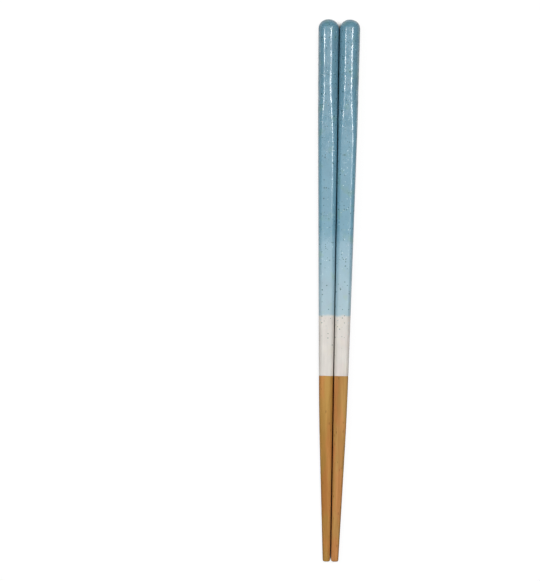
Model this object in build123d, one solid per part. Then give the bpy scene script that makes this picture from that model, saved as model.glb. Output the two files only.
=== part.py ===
from build123d import *
import os
from math import cos, radians, sin

# A pair of wooden chopsticks, lying side by side with their butts towards +Y and their tips towards -Y.
# Each stick narrows in three stages: a nearly even handle, a long blade and a quicker tip. Its section
# is a rounded square, rounder on the handle and at the tip than along the blade. It rests on the flat
# underside of its handle and blade, on z = 0, so only the tip stands a little clear of the table. The
# two inner flanks are parallel, with a narrow gap between them.

# Lengths along a stick, in millimetres
stick_length = 225.0
handle_length = 40.0  # from the butt to the shoulder, where the blade starts
tip_length = 60.0  # from the neck, where the blade ends, to the end of the stick
bend_length = 24.0  # over which one stage turns into the next

# Widths across the flats, in millimetres
butt_width = 8.55
shoulder_width = 8.08
neck_width = 5.6
tip_width = 3.12

# Rounded ends, in millimetres
dome_height = 4.0
dome_flat_width = 0.5  # of the small flat at the top of the dome
tip_round = 0.7  # radius round the end of the tip

# How the two sticks lie, in millimetres
flank_gap = 0.36  # between the inner flanks

# Corner radius as a share of the width, on each stage and at the top of the dome
dome_corner_share = 0.47
handle_corner_share = 0.42
blade_corner_share = 0.26
tip_corner_share = 0.44

# Lofted steps in each stretch
dome_steps = 8
straight_steps = 2
bend_steps = 6
tip_round_steps = 4

# Stations along a stick, measured from the butt
neck_station = stick_length - tip_length
handle_end = handle_length - bend_length / 2
blade_start = handle_length + bend_length / 2
blade_end = neck_station - bend_length / 2
tip_start = neck_station + bend_length / 2
tip_end = stick_length - tip_round

# Loss of width per unit of length on each stage
handle_taper = (butt_width - shoulder_width) / handle_length
blade_taper = (shoulder_width - neck_width) / (neck_station - handle_length)
tip_taper = (neck_width - tip_width) / tip_length


def eased_run(distance):
    """Distance run past the middle of a bend, rising smoothly from zero over the bend's length."""
    half_bend = bend_length / 2
    if distance <= -half_bend:
        return 0
    if distance >= half_bend:
        return distance
    return (distance + half_bend) ** 2 / (2 * bend_length)


def loss_past_neck(station):
    """Width that the tip loses over what the blade's taper would take."""
    return (tip_taper - blade_taper) * eased_run(station - neck_station)


def width_at(station):
    """Width across the flats, before an end is rounded off."""
    past_shoulder = (blade_taper - handle_taper) * eased_run(station - handle_length)
    return butt_width - handle_taper * station - past_shoulder - loss_past_neck(station)


def corner_share_at(station):
    """Corner radius as a share of the width: even on the handle and the blade, growing along the tip."""
    through_shoulder = min(max((station - handle_end) / bend_length, 0), 1)
    eased = through_shoulder**2 * (3 - 2 * through_shoulder)
    squared = (blade_corner_share - handle_corner_share) * eased
    rounded = (tip_corner_share - blade_corner_share) * eased_run(station - neck_station) / tip_length
    return handle_corner_share + squared + rounded


def section(side, station, inset=0, extra_share=0):
    """Rounded square of the stick on one side of the pair, set in from the full width at a rounded end."""
    full_width = width_at(station)
    width = full_width - 2 * inset
    across = side * (flank_gap + full_width) / 2
    along = stick_length / 2 - station
    axis_height = (full_width + loss_past_neck(station)) / 2
    plane = Plane(origin=(across, along, axis_height), x_dir=(1, 0, 0), z_dir=(0, -1, 0))
    return plane * RectangleRounded(width, width, width * (corner_share_at(station) + extra_share))


def dome_section(side, turn):
    """Section of the butt's dome, from the flat at its top at 0 degrees to its foot at 90."""
    rise = 1 - sin(radians(turn))
    inset = (butt_width - dome_flat_width) / 2 * rise
    extra_share = (dome_corner_share - handle_corner_share) * rise
    return section(side, dome_height * (1 - cos(radians(turn))), inset, extra_share)


def tip_end_section(side, turn):
    """Section of the tip's rounded end, from its foot at 90 degrees to the flat end at 0."""
    inset = tip_round * (1 - sin(radians(turn)))
    return section(side, stick_length - tip_round * (1 - cos(radians(turn))), inset)


def steps(start, end, count):
    """Evenly spaced values from start to end, both included."""
    return [start + (end - start) * i / count for i in range(count + 1)]


def straight(side, start, end):
    """Stretch of a stage with plane flats."""
    return loft([section(side, s) for s in steps(start, end, straight_steps)], ruled=True)


def bend(side, start, end):
    """Stretch that turns smoothly from one stage into the next."""
    return loft([section(side, s) for s in steps(start, end, bend_steps)])


def chopstick(side):
    """One stick, as a chain of stretches from the dome of the butt to the rounded end of the tip."""
    dome = loft([dome_section(side, turn) for turn in steps(0, 90, dome_steps)])
    handle = straight(side, dome_height, handle_end)
    shoulder = bend(side, handle_end, blade_start)
    blade = straight(side, blade_start, blade_end)
    neck = bend(side, blade_end, tip_start)
    tip = straight(side, tip_start, tip_end)
    tip_cap = loft([tip_end_section(side, turn) for turn in steps(90, 0, tip_round_steps)])
    return dome + [handle, shoulder, blade, neck, tip, tip_cap]


os.makedirs("parts", exist_ok=True)
for name, side in (("left_chopstick", -1), ("right_chopstick", 1)):
    export_step(chopstick(side), f"parts/{name}.step")
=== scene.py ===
import math

import bpy
import numpy as np
from mathutils import Matrix, Vector, noise


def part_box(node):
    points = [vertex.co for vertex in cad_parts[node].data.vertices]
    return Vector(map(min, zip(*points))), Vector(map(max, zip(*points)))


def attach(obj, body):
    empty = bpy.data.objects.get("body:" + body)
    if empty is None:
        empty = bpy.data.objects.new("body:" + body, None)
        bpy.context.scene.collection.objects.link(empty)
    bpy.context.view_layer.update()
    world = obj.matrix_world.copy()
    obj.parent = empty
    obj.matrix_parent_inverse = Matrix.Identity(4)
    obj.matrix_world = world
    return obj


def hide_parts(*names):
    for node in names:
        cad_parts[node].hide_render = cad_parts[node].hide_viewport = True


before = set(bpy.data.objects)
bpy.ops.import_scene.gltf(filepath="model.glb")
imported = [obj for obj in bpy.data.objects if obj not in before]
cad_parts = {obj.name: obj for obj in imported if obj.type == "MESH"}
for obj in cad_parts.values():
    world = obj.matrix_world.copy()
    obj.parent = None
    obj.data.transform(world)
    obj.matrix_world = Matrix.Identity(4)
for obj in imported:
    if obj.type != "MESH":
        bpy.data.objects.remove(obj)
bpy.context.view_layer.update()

# A pair of lacquered wooden chopsticks lies on a white floor, seen from straight above. Lengths are in
# metres. A station is a distance along a stick, measured from the top of its butt.

# Forms of a stick, as its solid has them
stick_low, stick_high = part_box("right_chopstick")
stick_length = stick_high.y - stick_low.y
handle_length = 0.040
tip_length = 0.060
bend_length = 0.024
butt_width = 0.00855
shoulder_width = 0.00808
neck_width = 0.0056
tip_width = 0.00312
dome_height = 0.004
dome_flat_width = 0.0005
tip_round = 0.0007
flank_gap = 0.00036
dome_corner_share = 0.47
handle_corner_share = 0.42
blade_corner_share = 0.26
tip_corner_share = 0.44
neck_station = stick_length - tip_length
handle_taper = (butt_width - shoulder_width) / handle_length
blade_taper = (shoulder_width - neck_width) / (neck_station - handle_length)
tip_taper = (neck_width - tip_width) / tip_length

# Lacquer: where its bands end, its thickness over the wood and the ripple of its surface
blue_end = 0.0898
light_blue_end = 0.1228
lacquer_end = 0.14785
lacquer_thickness = 0.00006
lacquer_lip = 0.00010
ripple_depth = 0.000024
ripple_size = 0.0045
ripple_stretch = 2
ripple_shift = 7  # between the two sticks, in ripples

# Fineness of a stick's mesh
dome_rings = 24
ring_spacing = 0.0006
lip_rings = 8
tip_end_rings = 10
corner_steps = 14
flat_steps = 6

# Rows of a stick's unwrapped surface and the margin round each, as a share of the map
map_rows = 3
map_margin_share = 0.01

# Colours, as linear red, green and blue
# The top blue is darker than the bottom blue: partly the lacquer's own fade, partly painted shade at the
# butt end.
blue_top_with_painted_shade = (0.155, 0.328, 0.428)
blue_bottom = (0.190, 0.397, 0.510)
light_blue_top = (0.305, 0.511, 0.617)
light_blue_bottom = (0.418, 0.595, 0.668)
white = (0.778, 0.738, 0.685)
pale_flake = (0.600, 0.770, 0.820)
gold_flake = (0.560, 0.680, 0.420)
wood_dark = (0.449, 0.209, 0.055)
wood_light = (0.628, 0.332, 0.106)
wood_pore = (0.214, 0.083, 0.023)

# Tints, which multiply a colour
dark_flake_tint = (0.31, 0.41, 0.39)
tarnish_tint = (1.000, 1.000, 0.820)
blush_tint = (1.000, 0.965, 0.975)
wood_red_tint = (1.060, 0.940, 0.920)
wood_olive_tint = (0.950, 1.040, 0.930)

# Noise patterns: the size of their features, the share that their length along the stick counts for,
# and how many finer layers they have
edge_waver = (0.003, 1, 3)
tarnish_patches = (0.005, 1, 2)
blush_patches = (0.006, 1, 2)
mottle_patches = (0.006, 1, 4)
glitter_patches = (0.006, 1, 2)
brush_marks = (0.0012, 0.12, 2)
gloss_beads = (0.0013, 0.5, 1)
orange_peel = (0.0012, 0.4, 2)
wood_streaks = (0.0022, 0.04, 3)
wood_fibres = (0.0005, 0.08, 2)
wood_blotches = (0.005, 0.3, 2)
floor_mottle = (0.02, 1, 2)
tarnish_shift = (0.2, 0.4, 0.6)
blush_shift = (0.6, 0.2, 0.4)

# Edges of the bands: how far they waver, and from where to where one colour turns into the next
upper_waver = 0.010
upper_edge = (blue_end - 0.003, blue_end + 0.005)
lower_waver = 0.0022
lower_edge = (light_blue_end - 0.0006, light_blue_end + 0.0007)
bare_edge = (lacquer_end - 0.00008, lacquer_end - 0.00002)

# Uneven colour of the lacquer: where noise starts to show and shows in full, and how strongly
tarnish_range = (0.56, 0.72)
tarnish_on_blue = 0.8
tarnish_off_white = 0.6
blush_range = (0.5, 0.7)
mottle_depth = 0.22
brush_depth = 0.22

# Glitter: its cells, the flakes in them, and the share of cells with a flake along a stick's length
pale_cell = 0.0008
pale_radius = 0.00019
pale_strength_range = (-0.2, 1.2)
golden_share = 0.35
dark_cell = 0.0009
dark_radius = 0.00028
dark_strength_range = (-0.2, 1.0)
dark_shift = (0.5, 0.5, 0.5)
least_flake = 0.6
flake_spread = 0.7
flake_edge = (1.1, 0.8)
lower_density = [(0.44, 0.8), (0.46, 0.2), (0.53, 0.4), (0.56, 0.35), (0.60, 0.12), (0.63, 0)]
pale_density = [(0, 0.25), (0.06, 0.35), (0.11, 0.6), (0.17, 0.45), (0.32, 0.35), (0.39, 0.8)]
dark_density = [(0, 0.5), (0.05, 0.8), (0.19, 0.8), (0.25, 0.45), (0.32, 0.40), (0.39, 0.8)]
patch_range = (0.4, 0.62)
least_patch = 0.3
flake_tilt = 0.7
flake_metal = 0.45

# Grain of the wood
streak_share = 1.65
fibre_share = 0.35
grain_range = (0.65, 1.35)
blotch_range = (0.38, 0.62)
pore_cell = 0.0007
pore_squeeze = 0.2
pore_edge = (0.24, 0.12)
pore_strength = 0.8
grain_height = 0.3
wood_relief = 0.00002

# Gloss: beaded on the handle, even further down
bead_range = (0.38, 0.60)
beaded_stretch = (0.070, 0.035)
bead_contrast = 0.8
dull_gloss = 0.39
even_gloss = 0.75
lacquer_roughness = 0.4
wood_extra_roughness = 0.18
peel_relief = 0.00005

# Camera: the picture's height in the plane of the sticks' axes, the pair's place right of and above the
# picture's middle, and how far the pair leans to the right
picture_height = 0.2410
pair_right = 0.02697
pair_up = -0.0001
pair_lean = math.radians(0.94)
axis_height = 0.004
camera_distance = 1.0
nearest_seen = 0.01
sensor_height = 36.0

# Surroundings and floor
sky_low = 0.02
sky_high = 0.16
floor_level = 0.14
floor_lift = 0.90
floor_mottle_depth = 0.01
floor_drop = 0.0001
floor_reach = 6.0
shadow_reach = 0.012
shadow_samples = 16
shadow_stops = [(0.10, 0), (0.26, 0.02), (0.36, 0.16), (0.50, 1)]


def eased_run(distance):
    """Distance run past the middle of a bend, rising smoothly from zero over the bend's length."""
    half_bend = bend_length / 2
    if distance <= -half_bend:
        return 0
    if distance >= half_bend:
        return distance
    return (distance + half_bend) ** 2 / (2 * bend_length)


def smooth(value, start, end):
    """Rises smoothly from 0 at start to 1 at end."""
    share = min(max((value - start) / (end - start), 0), 1)
    return share * share * (3 - 2 * share)


def loss_past_neck(station):
    """Width that the tip loses over what the blade's taper would take."""
    return (tip_taper - blade_taper) * eased_run(station - neck_station)


def width_at(station):
    """Width of a stick across its flats, before an end is rounded off."""
    past_shoulder = (blade_taper - handle_taper) * eased_run(station - handle_length)
    return butt_width - handle_taper * station - past_shoulder - loss_past_neck(station)


def corner_share_at(station):
    """Corner radius as a share of the width."""
    half_bend = bend_length / 2
    squared = smooth(station, handle_length - half_bend, handle_length + half_bend)
    rounded = eased_run(station - neck_station) / tip_length
    blade_change = (blade_corner_share - handle_corner_share) * squared
    tip_change = (tip_corner_share - blade_corner_share) * rounded
    return handle_corner_share + blade_change + tip_change


def around_a_square():
    """Corner, turn and share of the following flat of each point round a section, from its underside up."""
    rows = []
    for quarter, corner in enumerate(((1, -1), (1, 1), (-1, 1), (-1, -1))):
        for step in range(corner_steps + 1):
            rows.append((*corner, math.pi / 2 * (quarter + step / corner_steps), 0))
        for step in range(1, flat_steps):
            rows.append((*corner, math.pi / 2 * (quarter + 1), step / flat_steps))
    return np.array(rows)


square = around_a_square()
outward = np.stack([np.sin(square[:, 2]), -np.cos(square[:, 2])], axis=1)
along_flat = np.stack([np.cos(square[:, 2]), np.sin(square[:, 2])], axis=1)


def ripple(point, side):
    """Inward ripple of the lacquer at a point of a stick."""
    place = Vector((point[0], point[1] / ripple_stretch, point[2])) / ripple_size
    place += Vector((0, 0, ripple_shift * side))
    return ripple_depth * (1 + noise.noise(place)) / 2


def section(side, station, inset=0, extra_share=0):
    """Points round one section of the stick on one side of the pair, lower where the wood is bare."""
    full_width = width_at(station)
    width = full_width - 2 * inset
    radius = width * (corner_share_at(station) + extra_share)
    reach = width / 2 - radius
    flat = square[:, :2] * reach + outward * radius + along_flat * square[:, 3:] * 2 * reach
    across = side * (flank_gap + full_width) / 2
    height = (full_width + loss_past_neck(station)) / 2
    along = np.full(len(flat), stick_length / 2 - station)
    points = np.stack([across + flat[:, 0], along, height + flat[:, 1]], axis=1)
    bare = smooth(station, lacquer_end - lacquer_lip, lacquer_end)
    ripples = np.array([ripple(point, side) for point in points])
    depths = ripples * (1 - bare) + lacquer_thickness * bare
    points[:, 0] -= outward[:, 0] * depths
    points[:, 2] -= outward[:, 1] * depths
    return points


def stick_rings(side):
    """Sections of a stick from the top of its dome to the end of its tip."""
    rings = []
    for turn in np.radians(np.linspace(0, 90, dome_rings)):
        rise = 1 - math.sin(turn)
        inset = (butt_width - dome_flat_width) / 2 * rise
        extra_share = (dome_corner_share - handle_corner_share) * rise
        rings.append(section(side, dome_height * (1 - math.cos(turn)), inset, extra_share))
    lip_start = lacquer_end - lacquer_lip
    tip_end = stick_length - tip_round
    coated_count = round((lip_start - dome_height) / ring_spacing)
    bare_count = round((tip_end - lacquer_end) / ring_spacing)
    for station in np.linspace(dome_height, lip_start, coated_count)[1:]:
        rings.append(section(side, station))
    for station in np.linspace(lip_start, lacquer_end, lip_rings)[1:]:
        rings.append(section(side, station))
    for station in np.linspace(lacquer_end, tip_end, bare_count)[1:]:
        rings.append(section(side, station))
    for turn in np.radians(np.linspace(90, 0, tip_end_rings))[1:]:
        station = stick_length - tip_round * (1 - math.cos(turn))
        rings.append(section(side, station, tip_round * (1 - math.sin(turn))))
    return np.array(rings)


def map_places(rings):
    """Places of the rings' points on the unwrapped surface, for the faces before and after each ring."""
    closed = np.concatenate([rings, rings[:, :1]], axis=1)
    steps_round = np.linalg.norm(np.diff(closed, axis=1), axis=2)
    steps_round = np.concatenate([np.zeros((len(rings), 1)), steps_round], axis=1)
    round_share = np.cumsum(steps_round, axis=1)
    perimeters = round_share[:, -1]
    round_share /= perimeters[:, None]
    steps_along = np.linalg.norm(np.diff(rings, axis=0), axis=2).mean(axis=1)
    along = np.concatenate([[0], np.cumsum(steps_along)])
    row_length = along[-1] / map_rows
    row_of_face = np.minimum((along[:-1] / row_length).astype(int), map_rows - 1)
    breaks = [int(np.argmax(row_of_face == row)) for row in range(map_rows)] + [len(rings) - 1]
    heights = np.array([perimeters[first : last + 1].max() for first, last in zip(breaks, breaks[1:])])
    heights *= (1 - 2 * map_margin_share * map_rows) / heights.sum()
    bases = np.cumsum(heights + 2 * map_margin_share) - heights - map_margin_share
    lengths = np.diff(along[breaks])
    usable = 1 - 2 * map_margin_share

    def places(ring, row):
        u = map_margin_share + usable * (along[ring] - along[breaks[row]]) / lengths[row]
        v = bases[row] + heights[row] * round_share[ring]
        return np.stack([np.full(len(v), u), v], axis=1)

    before = [places(ring, row_of_face[ring]) for ring in range(len(rings) - 1)]
    after = [places(ring + 1, row_of_face[ring]) for ring in range(len(rings) - 1)]
    return np.array(before), np.array(after)


def stick_mesh(name, side):
    """Closed mesh of one stick, with its surface unwrapped into rows."""
    rings = stick_rings(side)
    ring_count, around = rings.shape[:2]
    poles = [rings[0].mean(axis=0), rings[-1].mean(axis=0)]
    points = [*rings.reshape(-1, 3), *poles]
    butt_pole = ring_count * around
    tip_pole = butt_pole + 1
    before, after = map_places(rings)
    faces = []
    places = []
    for ring in range(ring_count - 1):
        first = ring * around
        second = first + around
        for step in range(around):
            following = (step + 1) % around
            faces.append((first + step, first + following, second + following, second + step))
            places += [before[ring, step], before[ring, step + 1], after[ring, step + 1], after[ring, step]]
    last = (ring_count - 1) * around
    edge = np.array([map_margin_share / 2, 0])
    for step in range(around):
        following = (step + 1) % around
        middle = (before[0, step] + before[0, step + 1]) / 2 - edge
        faces.append((butt_pole, following, step))
        places += [middle, before[0, step + 1], before[0, step]]
        middle = (after[-1, step] + after[-1, step + 1]) / 2 + edge
        faces.append((tip_pole, last + step, last + following))
        places += [middle, after[-1, step], after[-1, step + 1]]
    mesh = bpy.data.meshes.new(name)
    mesh.from_pydata([tuple(point) for point in points], [], faces)
    mesh.shade_smooth()
    unwrapped = mesh.uv_layers.new(name="OFBake")
    unwrapped.data.foreach_set("uv", np.array(places, dtype=np.float32).ravel())
    return mesh


class Graph:
    """Node tree of a material or a world, with one short method for each kind of node that it uses."""

    def __init__(self, owner):
        owner.use_nodes = True
        self.tree = owner.node_tree
        self.tree.nodes.clear()

    def node(self, kind, inputs=None, **settings):
        """A node with its settings and inputs, each of them a value or another node's output."""
        made = self.tree.nodes.new(kind)
        for name, value in settings.items():
            setattr(made, name, value)
        for name, value in (inputs or {}).items():
            if isinstance(value, bpy.types.NodeSocket):
                self.tree.links.new(value, made.inputs[name])
            else:
                made.inputs[name].default_value = value
        return made

    def math(self, operation, *values):
        return self.node("ShaderNodeMath", dict(enumerate(values)), operation=operation).outputs[0]

    def vector(self, operation, *values):
        return self.node("ShaderNodeVectorMath", dict(enumerate(values)), operation=operation).outputs[0]

    def scaled(self, vector, factor):
        made = self.node("ShaderNodeVectorMath", {0: vector, "Scale": factor}, operation="SCALE")
        return made.outputs[0]

    def split(self, vector):
        return self.node("ShaderNodeSeparateXYZ", {0: vector}).outputs

    def squeezed(self, place, squeeze):
        """Place with its part along the stick made smaller, which draws a pattern out that way."""
        return place if squeeze == 1 else self.vector("MULTIPLY", place, (1, squeeze, 1))

    def rise(self, value, start, end):
        """Rises smoothly from 0 at start to 1 at end, or falls where end is below start."""
        inputs = {"Value": value, "From Min": start, "From Max": end}
        return self.node("ShaderNodeMapRange", inputs, interpolation_type="SMOOTHSTEP").outputs[0]

    def noise(self, place, size, squeeze, detail):
        """Soft noise about 0.5, with features of the given size."""
        inputs = {"Vector": self.squeezed(place, squeeze), "Scale": 1 / size, "Detail": detail}
        return self.node("ShaderNodeTexNoise", inputs).outputs[0]

    def even_noise(self, place, pattern):
        """The noise of a pattern, about 0."""
        return self.math("SUBTRACT", self.noise(place, *pattern), 0.5)

    def cells(self, place, size, squeeze=1):
        """Cells of the given size, each with a random colour and the distance from its middle."""
        inputs = {"Vector": self.squeezed(place, squeeze), "Scale": 1 / size}
        return self.node("ShaderNodeTexVoronoi", inputs).outputs

    def mix(self, share, first, second):
        made = self.node("ShaderNodeMix", {0: share}, data_type="RGBA")
        for socket, value in ((made.inputs[6], first), (made.inputs[7], second)):
            if isinstance(value, bpy.types.NodeSocket):
                self.tree.links.new(value, socket)
            else:
                socket.default_value = (*value, 1)
        return made.outputs[2]

    def tinted(self, share, colour, tint):
        """Colour that takes on a tint where the share is 1."""
        return self.mix(share, colour, self.vector("MULTIPLY", colour, tint))

    def shares(self, value, stops):
        """A share that runs through the given (place, share) stops, with value from 0 to 1."""
        made = self.node("ShaderNodeValToRGB", {0: value})
        elements = made.color_ramp.elements
        while len(elements) < len(stops):
            elements.new(0)
        for element, (place, share) in zip(elements, stops):
            element.position = place
            element.color = (share, share, share, 1)
        return made.outputs[0]

    def bump(self, height, depth):
        return self.node("ShaderNodeBump", {"Height": height, "Distance": depth}).outputs[0]


def flakes(graph, place, cell, radius, share, strength_range):
    """How strongly flakes show, in the share of cells that hold one, and each cell's random colour."""
    cells = graph.cells(place, cell)
    random = graph.split(cells["Color"])
    chosen = graph.math("LESS_THAN", random[0], share)
    size = graph.math("MULTIPLY_ADD", random[2], flake_spread, least_flake)
    distance = graph.math("DIVIDE", cells["Distance"], size)
    inside = graph.rise(distance, *(radius / cell * edge for edge in flake_edge))
    strength = graph.rise(random[1], *strength_range)
    return graph.math("MULTIPLY", graph.math("MULTIPLY", chosen, inside), strength), cells["Color"], random


def wood_grain(graph, place, pore_share):
    """Straight grain from dark to light, of broad streaks and fine fibres, and its short dark pores."""
    streaks = graph.math("MULTIPLY", graph.noise(place, *wood_streaks), streak_share)
    grain = graph.math("MULTIPLY_ADD", graph.noise(place, *wood_fibres), fibre_share, streaks)
    cells = graph.cells(place, pore_cell, pore_squeeze)
    chosen = graph.math("LESS_THAN", graph.split(cells["Color"])[0], pore_share)
    pores = graph.math("MULTIPLY", graph.rise(cells["Distance"], *pore_edge), chosen)
    return graph.rise(grain, *grain_range), pores


def wood_colour(graph, place, grain, pores, tint):
    """Colour of the wood, which turns from red to olive in blotches."""
    blotch = graph.rise(graph.noise(place, *wood_blotches), *blotch_range)
    colour = graph.mix(grain, wood_dark, wood_light)
    colour = graph.vector("MULTIPLY", colour, graph.mix(blotch, wood_red_tint, wood_olive_tint))
    colour = graph.mix(graph.math("MULTIPLY", pores, pore_strength), colour, wood_pore)
    return graph.vector("MULTIPLY", colour, tint)


def lacquer_colour(graph, place, station):
    """Colour of the lacquer's three bands, each a little uneven, the blue darker towards the butt partly
    with painted shade.
    """
    waver = graph.even_noise(place, edge_waver)
    upper_station = graph.math("MULTIPLY_ADD", waver, upper_waver, station)
    lower_station = graph.math("MULTIPLY_ADD", waver, lower_waver, station)
    # Blue darkens towards the butt: partly the lacquer's own fade, partly painted shade.
    blue = graph.mix(graph.rise(station, 0, blue_end), blue_top_with_painted_shade, blue_bottom)
    paling = graph.rise(station, blue_end, light_blue_end)
    light_blue = graph.mix(paling, light_blue_top, light_blue_bottom)
    colour = graph.mix(graph.rise(upper_station, *upper_edge), blue, light_blue)
    whiteness = graph.rise(lower_station, *lower_edge)
    colour = graph.mix(whiteness, colour, white)

    tarnish_place = graph.vector("ADD", place, tarnish_shift)
    tarnish = graph.rise(graph.noise(tarnish_place, *tarnish_patches), *tarnish_range)
    tarnish_strength = graph.math("MULTIPLY_ADD", whiteness, -tarnish_off_white, tarnish_on_blue)
    colour = graph.tinted(graph.math("MULTIPLY", tarnish, tarnish_strength), colour, tarnish_tint)
    blush_place = graph.vector("ADD", place, blush_shift)
    blush = graph.rise(graph.noise(blush_place, *blush_patches), *blush_range)
    colour = graph.tinted(blush, colour, blush_tint)

    tone = graph.math("MULTIPLY_ADD", graph.even_noise(place, mottle_patches), mottle_depth, 1.0)
    brushed = graph.math("MULTIPLY", whiteness, brush_depth)
    tone = graph.math("MULTIPLY_ADD", graph.even_noise(place, brush_marks), brushed, tone)
    return graph.scaled(colour, tone)


def lacquered_wood(name, drift, tint, pore_share):
    """Wood that shows at the tip, under lacquer in three bands with glitter towards the butt."""
    material = bpy.data.materials.new(name)
    graph = Graph(material)
    own_place = graph.node("ShaderNodeTexCoord").outputs["Object"]
    place = graph.vector("ADD", own_place, drift)
    station = graph.math("SUBTRACT", stick_length / 2, graph.split(own_place)[1])
    colour = lacquer_colour(graph, place, station)

    # Glitter in patches: pale and golden flakes and dark ones, gone partway down the white
    share = graph.math("DIVIDE", station, stick_length)
    patches = graph.rise(graph.noise(place, *glitter_patches), *patch_range)
    patches = graph.math("MULTIPLY_ADD", patches, 1 - least_patch, least_patch)
    pale_share = graph.math("MULTIPLY", graph.shares(share, pale_density + lower_density), patches)
    dark_share = graph.math("MULTIPLY", graph.shares(share, dark_density + lower_density), patches)
    pale, pale_turn, pale_random = flakes(
        graph, place, pale_cell, pale_radius, pale_share, pale_strength_range
    )
    dark_place = graph.vector("ADD", place, dark_shift)
    dark, _, _ = flakes(graph, dark_place, dark_cell, dark_radius, dark_share, dark_strength_range)
    colour = graph.tinted(dark, colour, dark_flake_tint)
    golden = graph.math("LESS_THAN", pale_random[2], golden_share)
    colour = graph.mix(pale, colour, graph.mix(golden, pale_flake, gold_flake))

    # Bare wood past the lacquer's edge
    bare = graph.rise(station, *bare_edge)
    coated = graph.math("SUBTRACT", 1.0, bare)
    grain, pores = wood_grain(graph, place, pore_share)
    colour = graph.mix(bare, colour, wood_colour(graph, place, grain, pores, tint))

    # Relief: grain and pores in the wood, pale flakes that lie at all angles, and the lacquer's peel
    wood_height = graph.math("SUBTRACT", graph.math("MULTIPLY", grain, grain_height), pores)
    wood_normal = graph.bump(graph.math("MULTIPLY", wood_height, bare), wood_relief)
    turn = graph.vector("SUBTRACT", pale_turn, (0.5, 0.5, 0.5))
    tilt = graph.scaled(turn, graph.math("MULTIPLY", pale, flake_tilt))
    normal = graph.vector("NORMALIZE", graph.vector("ADD", wood_normal, tilt))
    coat_normal = graph.bump(graph.noise(place, *orange_peel), peel_relief)

    # Gloss of the lacquer, in beads on the handle
    beads = graph.rise(graph.noise(place, *gloss_beads), *bead_range)
    bead_gloss = graph.math("MULTIPLY_ADD", beads, bead_contrast, dull_gloss - even_gloss)
    beaded = graph.rise(station, *beaded_stretch)
    gloss = graph.math("MULTIPLY_ADD", bead_gloss, beaded, even_gloss)
    gloss = graph.math("MINIMUM", gloss, 1.0)

    shader = graph.node(
        "ShaderNodeBsdfPrincipled",
        {
            "Base Color": colour,
            "Metallic": graph.math("MULTIPLY", graph.math("MULTIPLY", pale, coated), flake_metal),
            "Roughness": graph.math("MULTIPLY_ADD", bare, wood_extra_roughness, lacquer_roughness),
            "IOR": 1.5,
            "Specular IOR Level": 0.1,
            "Normal": normal,
            "Coat Weight": graph.math("MULTIPLY", coated, gloss),
            "Coat Roughness": 0.15,
            "Coat IOR": 1.6,
            "Coat Normal": coat_normal,
        },
    )
    graph.node("ShaderNodeOutputMaterial", {"Surface": shader.outputs[0]})
    return material


def seen_share(graph):
    """1 for the camera's own rays and for mirrored and transmitted ones, 0 for those that only light."""
    path = graph.node("ShaderNodeLightPath").outputs
    mirrored = graph.math("MAXIMUM", path["Is Glossy Ray"], path["Is Transmission Ray"])
    return graph.math("MAXIMUM", path["Is Camera Ray"], mirrored)


def floor_material():
    """Plain white floor that keeps the shadow of what lies on it."""
    material = bpy.data.materials.new("white_floor")
    graph = Graph(material)
    mottle = graph.even_noise(graph.node("ShaderNodeTexCoord").outputs["Object"], floor_mottle)
    level = graph.math("MULTIPLY_ADD", mottle, floor_mottle_depth, floor_level)
    inputs = {"Distance": shadow_reach}
    open_share = graph.node("ShaderNodeAmbientOcclusion", inputs, samples=shadow_samples).outputs["AO"]
    open_share = graph.shares(open_share, shadow_stops)
    level = graph.math("MULTIPLY", level, open_share)
    lit = graph.node("ShaderNodeBsdfDiffuse", {"Color": graph.vector("MULTIPLY", (1, 1, 1), level)})
    lift = graph.math("MULTIPLY", graph.math("MULTIPLY", seen_share(graph), open_share), floor_lift)
    lift = graph.node("ShaderNodeEmission", {"Strength": lift})
    both = graph.node("ShaderNodeAddShader", {0: lit.outputs[0], 1: lift.outputs[0]})
    graph.node("ShaderNodeOutputMaterial", {"Surface": both.outputs[0]})
    return material


def soft_surroundings():
    """Soft light from all round, brighter from above."""
    world = bpy.data.worlds.new("soft_surroundings")
    bpy.context.scene.world = world
    graph = Graph(world)
    height = graph.split(graph.node("ShaderNodeTexCoord").outputs["Generated"])[2]
    strength = graph.math("MULTIPLY_ADD", graph.rise(height, 0, 1), sky_high - sky_low, sky_low)
    sky = graph.node("ShaderNodeBackground", {"Strength": strength})
    graph.node("ShaderNodeOutputWorld", {"Surface": sky.outputs[0]})


def softbox(name, place, width, length, radiance):
    """Rectangular lamp that faces the pair, with its length along the sticks."""
    lamp = bpy.data.lights.new(name, "AREA")
    lamp.shape = "RECTANGLE"
    lamp.size = width
    lamp.size_y = length
    lamp.energy = radiance * math.pi * width * length
    made = bpy.data.objects.new(name, lamp)
    away = Vector(place).normalized()
    right = Vector((0, 1, 0)).cross(away).normalized()
    forward = away.cross(right)
    made.matrix_world = Matrix.Translation(place) @ Matrix((right, forward, away)).transposed().to_4x4()
    bpy.context.scene.collection.objects.link(made)


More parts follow.
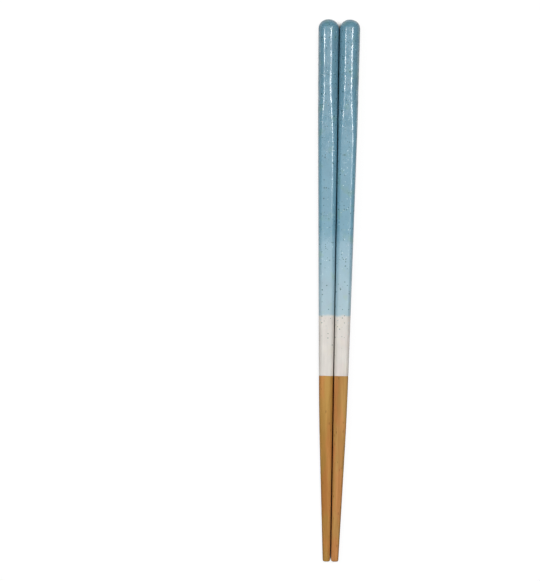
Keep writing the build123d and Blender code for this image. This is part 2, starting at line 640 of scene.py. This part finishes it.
def add_floor():
    """White floor just under the pair."""
    mesh = bpy.data.meshes.new("floor")
    corners = [(-1, -1), (1, -1), (1, 1), (-1, 1)]
    points = [(floor_reach * x, floor_reach * y, -floor_drop) for x, y in corners]
    mesh.from_pydata(points, [], [(0, 1, 2, 3)])
    mesh.materials.append(floor_material())
    floor = bpy.data.objects.new("floor", mesh)
    bpy.context.scene.collection.objects.link(floor)


def add_camera():
    """Camera straight above the picture's middle, turned by the pair's lean."""
    lens = bpy.data.cameras.new("camera")
    lens.sensor_width = sensor_height
    lens.lens = sensor_height * camera_distance / picture_height
    lens.clip_start = nearest_seen
    camera = bpy.data.objects.new("camera", lens)
    turn = Matrix.Rotation(pair_lean, 3, "Z")
    middle = turn @ Vector((-pair_right, -pair_up, 0))
    camera.location = middle + Vector((0, 0, axis_height + camera_distance))
    camera.rotation_euler = (0, 0, pair_lean)
    bpy.context.scene.collection.objects.link(camera)
    bpy.context.scene.camera = camera


def add_stick(node, side, drift, tint, pore_share):
    """Dresses one stick: a fine mesh of the same form, with patterns that drift sets apart."""
    name = node.replace("chopstick", "lacquered_stick")
    stick = bpy.data.objects.new(name, stick_mesh(name, side))
    bpy.context.scene.collection.objects.link(stick)
    material_name = "lacquered_wood_" + node.split("_")[0]
    stick.data.materials.append(lacquered_wood(material_name, drift, tint, pore_share))
    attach(stick, "root")
    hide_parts(node)


add_stick("left_chopstick", -1, drift=(0.031, 0.117, 0.053), tint=(0.98, 0.97, 0.90), pore_share=0.12)
add_stick("right_chopstick", 1, drift=(0.091, 0.241, 0.017), tint=(0.985, 0.960, 1.050), pore_share=0.34)
add_floor()
soft_surroundings()
softbox("left_strip", place=(-0.78, 0.31, 1.2), width=0.24, length=0.25, radiance=23.0)
softbox("right_strip", place=(0.30, 0.225, 1.2), width=0.25, length=0.32, radiance=16.0)
softbox("top_box", place=(-0.05, 0, 1.3), width=1.5, length=1.4, radiance=1.33)
add_camera()
bpy.context.scene.view_settings.view_transform = "Standard"
